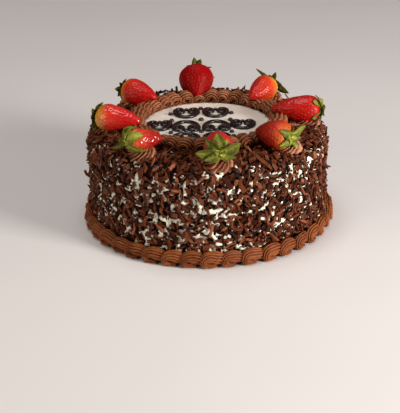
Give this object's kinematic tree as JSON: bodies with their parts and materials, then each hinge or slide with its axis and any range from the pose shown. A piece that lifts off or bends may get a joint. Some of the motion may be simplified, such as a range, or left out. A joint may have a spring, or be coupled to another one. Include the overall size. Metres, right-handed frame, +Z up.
{
  "type": "round chocolate strawberry cake",
  "caption": "Round layer cake coated in chocolate flakes, with piped chocolate buttercream borders, a white icing disc on top and whole strawberries round the rim.",
  "frame": {"origin": "centre of the flat underside", "axes": "+Z up from the underside; +X to the picture's right; -Y towards the picture's camera"},
  "size_m": [0.24, 0.24, 0.1244],
  "materials": {
    "flake_coat": "dense coat of dark chocolate flakes over cream",
    "white_icing": "smooth satin off-white icing",
    "buttercream": "soft piped chocolate buttercream",
    "berry": "glossy ripe strawberry skin",
    "leaf": "matt green sepals"
  },
  "bodies": {
    "root": {"cake_body": "flake_coat", "icing_disc": "white_icing", "swirl_ring": "buttercream", "foot_border": "buttercream", "rosette_a": "buttercream", "rosette_b": "buttercream", "rosette_c": "buttercream", "rosette_d": "buttercream", "rosette_e": "buttercream", "rosette_f": "buttercream", "rosette_g": "buttercream", "rosette_h": "buttercream", "strawberry_a": "berry", "strawberry_b": "berry", "strawberry_c": "berry", "strawberry_d": "berry", "strawberry_e": "berry", "strawberry_f": "berry", "strawberry_g": "berry", "strawberry_h": "berry", "leaf_crown_a": "leaf", "leaf_crown_b": "leaf", "leaf_crown_c": "leaf", "leaf_crown_d": "leaf", "leaf_crown_e": "leaf", "leaf_crown_f": "leaf", "leaf_crown_g": "leaf", "leaf_crown_h": "leaf"}
  },
  "joints": []
}
